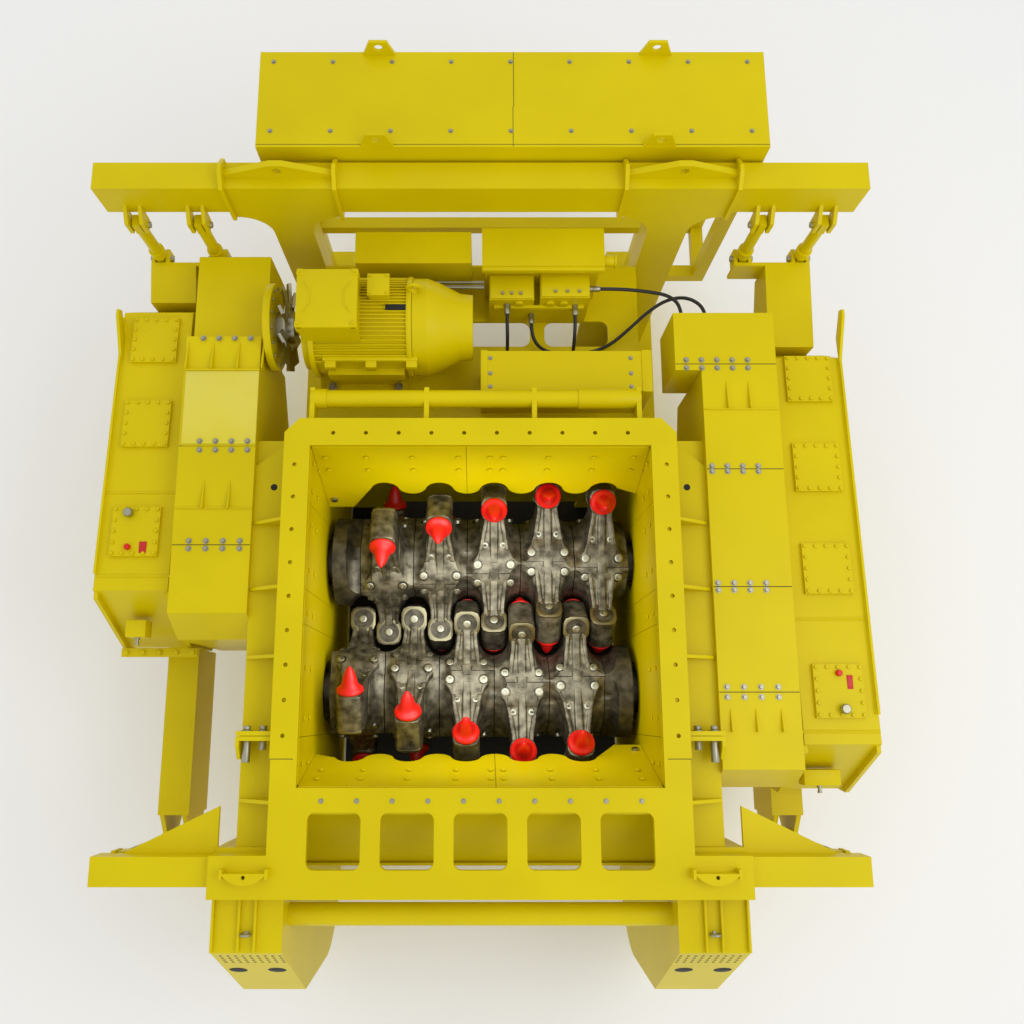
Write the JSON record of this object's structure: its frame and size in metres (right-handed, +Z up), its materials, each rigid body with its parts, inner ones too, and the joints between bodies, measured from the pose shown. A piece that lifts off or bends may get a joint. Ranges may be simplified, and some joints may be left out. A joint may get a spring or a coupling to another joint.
{
  "type": "double roll crusher",
  "caption": "Toothed double roll crusher on skids, with an open feed flange, side gear cases hung on torque rods, a motor and a canopy.",
  "frame": {"origin": "middle of the footprint, on the ground under the skids", "axes": "+Z up, +Y from the front deck to the rear canopy, +X to the right, along the roll shafts"},
  "size_m": [4.78, 5.7136, 2.942],
  "materials": {
    "bearing_steel": "cast housing",
    "coupling_steel": "bare steel",
    "hose_rubber": "black rubber",
    "red_caps": "red plastic",
    "shaft_steel": "turned steel",
    "tooth_steel": "dark cast steel, machined faces",
    "yellow_paint": "gloss machine enamel"
  },
  "bodies": {
    "frame": {"beam_posts": "yellow_paint", "canopy_frame": "yellow_paint", "canopy_roof": "yellow_paint", "control_cabinet": "yellow_paint", "feed_flange": "yellow_paint", "front_chamber_wall": "yellow_paint", "front_cross_tube": "yellow_paint", "front_deck": "yellow_paint", "front_liner": "yellow_paint", "hinge_pipe": "yellow_paint", "hose_deck_left": "hose_rubber", "hose_deck_right": "hose_rubber", "hose_side_lower": "hose_rubber", "hose_side_upper": "hose_rubber", "hydraulic_tank": "yellow_paint", "hydraulic_valves": "yellow_paint", "input_shaft_guard": "yellow_paint", "left_case_arm": "yellow_paint", "left_case_covers": "yellow_paint", "left_drive_guard": "yellow_paint", "left_drive_guard_rear": "yellow_paint", "left_gear_case": "yellow_paint", "left_outrigger": "yellow_paint", "left_side_frame": "yellow_paint", "motor_base": "yellow_paint", "motor_body": "yellow_paint", "motor_fan_cowl": "yellow_paint", "motor_terminal_box": "yellow_paint", "rear_base": "yellow_paint", "rear_beam": "yellow_paint", "rear_chamber_wall": "yellow_paint", "rear_liner": "yellow_paint", "right_case_arm": "yellow_paint", "right_case_covers": "yellow_paint", "right_drive_guard": "yellow_paint", "right_drive_guard_rear": "yellow_paint", "right_gear_case": "yellow_paint", "right_outrigger": "yellow_paint", "right_side_frame": "yellow_paint", "roll_bearings": "bearing_steel", "side_chamber_walls": "yellow_paint", "side_liners": "yellow_paint", "side_shelves": "yellow_paint", "support_struts": "yellow_paint", "torque_rods": "yellow_paint"},
    "rear_roll": {"rear_ring_1": "tooth_steel", "rear_ring_2": "tooth_steel", "rear_ring_3": "tooth_steel", "rear_ring_4": "tooth_steel", "rear_ring_5": "tooth_steel", "rear_shaft": "shaft_steel", "rear_tooth_caps": "red_caps"},
    "front_roll": {"front_ring_1": "tooth_steel", "front_ring_2": "tooth_steel", "front_ring_3": "tooth_steel", "front_ring_4": "tooth_steel", "front_ring_5": "tooth_steel", "front_shaft": "shaft_steel", "front_tooth_caps": "red_caps"},
    "motor_rotor": {"motor_coupling": "coupling_steel"}
  },
  "joints": [
    {"name": "rear_roll_spin", "type": "hinge", "parent": "frame", "child": "rear_roll", "pos_m": [0, -0.10425, 1.42], "axis": [1, 0, 0], "continuous": true},
    {"name": "front_roll_spin", "type": "hinge", "parent": "frame", "child": "front_roll", "pos_m": [0, -0.98925, 1.42], "axis": [1, 0, 0], "continuous": true},
    {"name": "motor_spin", "type": "hinge", "parent": "frame", "child": "motor_rotor", "pos_m": [-1.3, 1.35075, 2.1], "axis": [1, 0, 0], "continuous": true}
  ],
  "couplings": [
    {"joint": "front_roll_spin", "follows": "rear_roll_spin", "ratio": -1}
  ]
}
